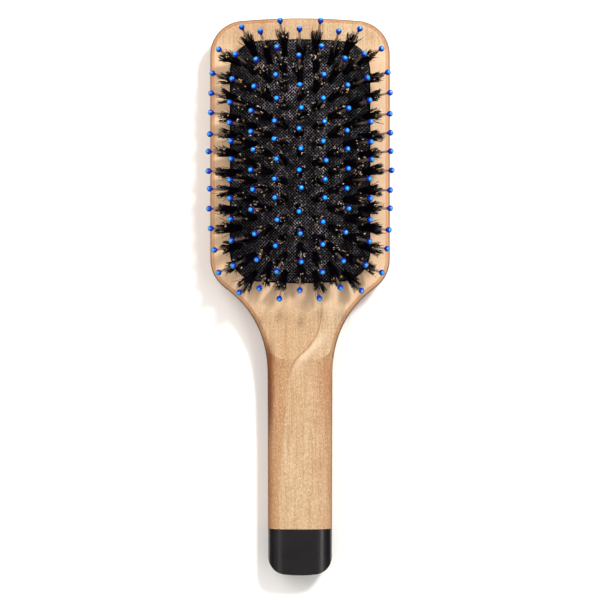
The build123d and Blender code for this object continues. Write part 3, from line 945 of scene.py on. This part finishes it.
def make_bristles(name, seats, material, rng):
    """Bundle of single tapered three-sided bristles round each pin. A few end in a pale
    split tip."""
    lines = np.concatenate([bristle_lines(seat, rng) for seat in seats])
    sides = np.repeat(np.array([seat.side for seat in seats]), BRISTLES_PER_TUFT, 0)
    fronts = np.repeat(np.array([seat.front for seat in seats]), BRISTLES_PER_TUFT, 0)
    count = len(lines)
    pale = rng.uniform(0, 1, count)
    upright = np.repeat(np.array([seat.axis[2] for seat in seats]), BRISTLES_PER_TUFT)
    pale = np.where(upright < UPRIGHT_ENOUGH, pale * LEANING_PALE, pale)
    twist = rng.uniform(0, math.tau, count)
    narrowing = (BRISTLE_TIP_RADIUS - BRISTLE_ROOT_RADIUS) * BRISTLE_SHARES**2
    taper = BRISTLE_ROOT_RADIUS + narrowing
    radius = rng.uniform(0.75, 1.2, count)[:, None] * taper[None, :]
    split = pale > 1 - SPLIT_SHARE
    radius[split, -1] = SPLIT_TIP_RADIUS * rng.uniform(0.6, 1.1, split.sum())
    points = np.zeros((count, BRISTLE_STEPS, 3, 3))
    for corner in range(3):
        angle = twist + math.tau * corner / 3
        out = np.cos(angle)[:, None] * sides + np.sin(angle)[:, None] * fronts
        points[:, :, corner] = lines + radius[..., None] * out[:, None, :]
    ring = 3 * np.arange(BRISTLE_STEPS)
    faces_one = [(0, 2, 1), tuple(ring[-1] + np.arange(3))]
    for step in range(BRISTLE_STEPS - 1):
        a, b = ring[step], ring[step + 1]
        for corner in range(3):
            n = (corner + 1) % 3
            faces_one.append((a + corner, a + n, b + n, b + corner))
    faces = [
        tuple(int(i) + bristle * 3 * BRISTLE_STEPS for i in face)
        for bristle in range(count)
        for face in faces_one
    ]
    piece = mesh_piece(name, points.reshape(-1, 3), faces, material)
    point_attribute(piece, "along", np.tile(np.repeat(BRISTLE_SHARES, 3), count))
    point_attribute(piece, "pale", np.repeat(pale, 3 * BRISTLE_STEPS))
    return piece


# ------------------------------------------------------------------ put together
def dress_cad_nodes():
    """Better materials for the CAD nodes that stay."""
    materials = {
        "wooden_body": wood_material(),
        "end_cap": cap_material(),
        "pins": nylon_material(),
        "binding_rings": steel_material(),
    }
    for name, node in NODES.items():
        for start, material in materials.items():
            if name.startswith(start):
                node.material_slots[0].material = material


def make_cushion():
    """Rubber, cloth and net of the cushion, which lies between the still body and the field of
    tufts.
    """
    rubber = make_air_cushion(rubber_material())
    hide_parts("cushion")
    cloth = make_cloth(cloth_material())
    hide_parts("cushion_cover")
    thread = thread_material()
    nets = [make_net("net_threads_rising", 1, thread), make_net("net_threads_falling", -1, thread)]
    for piece in [rubber, cloth] + nets:
        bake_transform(piece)


def make_tufts():
    """Balls and bristles of each group of pins, on the body that its pins ride on."""
    ball = ball_material()
    bristle = bristle_material()
    rng = np.random.default_rng(BRISTLE_SEED)
    for group, seats in GROUPS.items():
        body = NODES["pins_" + group]["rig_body"]
        balls = make_balls("blue_balls_" + group, seats, ball)
        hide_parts("ball_tips_" + group)
        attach(balls, body)
        bristles = make_bristles("boar_bristles_" + group, seats, bristle, rng)
        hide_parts("bristles_" + group)
        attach(bristles, body)


def make_floor():
    """Plain pale floor, just under the brush."""
    corners = [
        (FLOOR_HALF * x, FLOOR_HALF * y, 0) for x, y in [(-1, -1), (1, -1), (1, 1), (-1, 1)]
    ]
    floor = mesh_piece("floor", corners, [(0, 1, 2, 3)], floor_material(), smooth=False)
    floor.location.z = -FLOOR_DROP


def soft_box(name, direction, distance, size, length, watts, colour, in_gloss=True):
    """Rectangular studio light that points at the brush from a direction, its length along Y.
    With in_gloss False it lights the brush without being mirrored in glossy surfaces."""
    light = bpy.data.lights.new(name, "AREA")
    light.shape = "RECTANGLE"
    light.size = size
    light.size_y = length
    light.energy = watts
    light.color = colour
    lamp = bpy.data.objects.new(name, light)
    bpy.context.scene.collection.objects.link(lamp)
    lamp.visible_glossy = in_gloss
    away = Vector(direction).normalized()
    across = Vector((0, 1, 0)).cross(away).normalized()
    along = away.cross(across)
    lamp.matrix_world = Matrix.Translation(away * distance) @ Matrix(
        (across, along, away)
    ).transposed().to_4x4()


def make_lights():
    """A small key light at the upper right for the shadows, a strip at each side for the cap's
    highlights, and a fill at the left, a large top light and the sky for the rest."""
    soft_box("key_light", (0.52, 0.68, 1.0), 1.3, 0.17, 0.20, 13.2, (1.0, 0.99, 0.97))
    soft_box("right_strip", (0.51, 0.1, 1.0), 1.3, 0.18, 1.2, 3.0, (1.0, 0.99, 0.98))
    soft_box("left_strip", (-0.42, 0.1, 1.0), 1.3, 0.18, 1.2, 1.1, (1.0, 0.99, 0.98))
    soft_box("left_fill", (-0.75, 0.78, 0.8), 1.4, 1.0, 1.2, 11.2, (1.0, 0.95, 0.91), False)
    soft_box("top_light", (0.0, 0.05, 1.0), 1.5, 3.2, 3.2, 12.6, (1.0, 0.96, 0.92))
    world = bpy.data.worlds.new("studio")
    world.use_nodes = True
    background = world.node_tree.nodes["Background"]
    background.inputs["Color"].default_value = (1.0, 0.955, 0.915, 1.0)
    background.inputs["Strength"].default_value = 0.33
    bpy.context.scene.world = world
    bpy.context.scene.view_settings.view_transform = "Standard"


def make_camera():
    """Camera that looks straight down, with the handle towards the lower edge."""
    data = bpy.data.cameras.new("camera")
    data.lens = CAMERA_LENS
    data.sensor_width = CAMERA_SENSOR
    camera = bpy.data.objects.new("camera", data)
    camera.location = CAMERA_PLACE
    bpy.context.scene.collection.objects.link(camera)
    bpy.context.scene.camera = camera


dress_cad_nodes()
make_cushion()
make_tufts()
make_floor()
make_lights()
make_camera()

bpy.context.view_layer.update()
